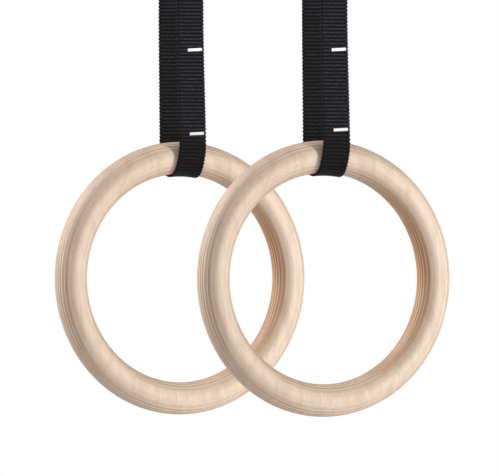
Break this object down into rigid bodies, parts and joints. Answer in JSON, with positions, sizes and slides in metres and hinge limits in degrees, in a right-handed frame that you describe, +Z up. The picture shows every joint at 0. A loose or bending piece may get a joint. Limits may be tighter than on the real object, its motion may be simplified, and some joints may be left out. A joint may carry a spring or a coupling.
{
  "type": "gymnastics rings",
  "caption": "Laminated wooden gymnastics rings, each hung from a bar in a loop of black webbing with a cam buckle.",
  "frame": {"origin": "middle of the left set's bar seat, on the axis of the bar that the strap hangs over", "axes": "+X along the bars, +Y the direction that the rings face, away from the viewer, with the right set in front at -Y, +Z up"},
  "size_m": [0.236, 0.3506, 0.4539],
  "materials": {
    "plywood": "pale birch-like plywood, sanded smooth, thin veneers stacked along the ring's axis",
    "webbing": "black ribbed polyester webbing, matt",
    "thread": "black polyester sewing thread",
    "elastic": "black woven elastic",
    "plated_steel": "zinc-plated pressed steel, satin",
    "pin_steel": "turned steel rivets, satin",
    "cast_cam": "cast zinc cam lever, black powder coat",
    "spring_wire": "spring wire, bright"
  },
  "bodies": {
    "bar_wraps": {"left_top_wrap": "webbing", "right_top_wrap": "webbing"},
    "left_hung_strap": {"left_front_strand_upper": "webbing", "left_sewn_end": "webbing", "left_tail": "webbing", "left_sewn_stitching": "thread", "left_tail_keeper": "elastic", "left_buckle_frame": "plated_steel", "left_strap_bar": "pin_steel", "left_cam_pin": "pin_steel", "left_cam_spring": "spring_wire"},
    "left_cam": {"left_cam_lever": "cast_cam"},
    "left_twisting_strap": {"left_front_strand_lower": "webbing", "left_back_strand_lower": "webbing"},
    "left_cradle": {"left_ring_cradle": "webbing"},
    "left_ring": {"left_ring": "plywood"},
    "right_hung_strap": {"right_front_strand_upper": "webbing", "right_sewn_end": "webbing", "right_tail": "webbing", "right_sewn_stitching": "thread", "right_tail_keeper": "elastic", "right_buckle_frame": "plated_steel", "right_strap_bar": "pin_steel", "right_cam_pin": "pin_steel", "right_cam_spring": "spring_wire"},
    "right_cam": {"right_cam_lever": "cast_cam"},
    "right_twisting_strap": {"right_front_strand_lower": "webbing", "right_back_strand_lower": "webbing"},
    "right_cradle": {"right_ring_cradle": "webbing"},
    "right_ring": {"right_ring": "plywood"}
  },
  "joints": [
    {"name": "left_swing", "type": "hinge", "parent": "bar_wraps", "child": "left_hung_strap", "pos_m": [0, 0, 0], "axis": [1, 0, 0], "range_deg": [-30, 30]},
    {"name": "left_cam_open", "type": "hinge", "parent": "left_hung_strap", "child": "left_cam", "pos_m": [0, 0.027, -0.058], "axis": [1, 0, 0], "range_deg": [-28, 0], "stiffness_Nm_per_rad": 0.03, "springref_deg": 20.05},
    {"name": "left_twist", "type": "hinge", "parent": "left_hung_strap", "child": "left_twisting_strap", "pos_m": [0, 0, -0.0885], "axis": [0, 0, 1], "range_deg": [-90, 90], "stiffness_Nm_per_rad": 0.004},
    {"name": "left_tilt", "type": "hinge", "parent": "left_twisting_strap", "child": "left_cradle", "pos_m": [0, 0, -0.215], "axis": [1, 0, 0], "range_deg": [-150, 150]},
    {"name": "left_slip", "type": "hinge", "parent": "left_cradle", "child": "left_ring", "pos_m": [0, 0, -0.319], "axis": [0, 1, 0], "continuous": true},
    {"name": "right_swing", "type": "hinge", "parent": "bar_wraps", "child": "right_hung_strap", "pos_m": [0, -0.289, 0], "axis": [1, 0, 0], "range_deg": [-30, 30]},
    {"name": "right_cam_open", "type": "hinge", "parent": "right_hung_strap", "child": "right_cam", "pos_m": [0, -0.262, -0.058], "axis": [1, 0, 0], "range_deg": [-28, 0], "stiffness_Nm_per_rad": 0.03, "springref_deg": 20.05},
    {"name": "right_twist", "type": "hinge", "parent": "right_hung_strap", "child": "right_twisting_strap", "pos_m": [0, -0.289, -0.0885], "axis": [0, 0, 1], "range_deg": [-90, 90], "stiffness_Nm_per_rad": 0.004},
    {"name": "right_tilt", "type": "hinge", "parent": "right_twisting_strap", "child": "right_cradle", "pos_m": [0, -0.289, -0.215], "axis": [1, 0, 0], "range_deg": [-150, 150]},
    {"name": "right_slip", "type": "hinge", "parent": "right_cradle", "child": "right_ring", "pos_m": [0, -0.289, -0.319], "axis": [0, 1, 0], "continuous": true}
  ]
}
